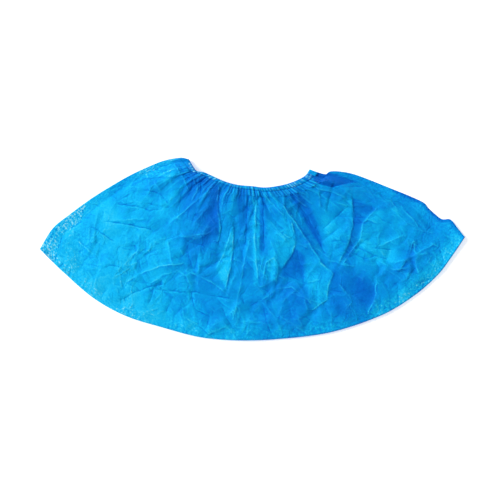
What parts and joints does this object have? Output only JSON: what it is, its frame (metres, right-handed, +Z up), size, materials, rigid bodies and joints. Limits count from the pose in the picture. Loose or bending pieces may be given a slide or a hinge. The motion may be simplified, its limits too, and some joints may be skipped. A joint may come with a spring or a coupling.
{
  "type": "shoe cover",
  "caption": "Disposable shoe cover of thin blue nonwoven cloth, lying flat, folded at the sole, welded at toe and heel, its mouth gathered by elastic in a turned hem.",
  "frame": {"origin": "on the ground, under the middle of the bounding box of the lying cover", "axes": "+X from the toe end to the heel end, +Y from the sole fold to the mouth, +Z up out of the ground"},
  "size_m": [0.3988, 0.1714, 0.018],
  "materials": {
    "nonwoven": "soft",
    "elastic": "matte"
  },
  "bodies": {
    "root": {"upper_leaf": "nonwoven", "lower_leaf": "nonwoven", "elastic_upper": "elastic", "elastic_lower": "elastic"}
  },
  "joints": []
}
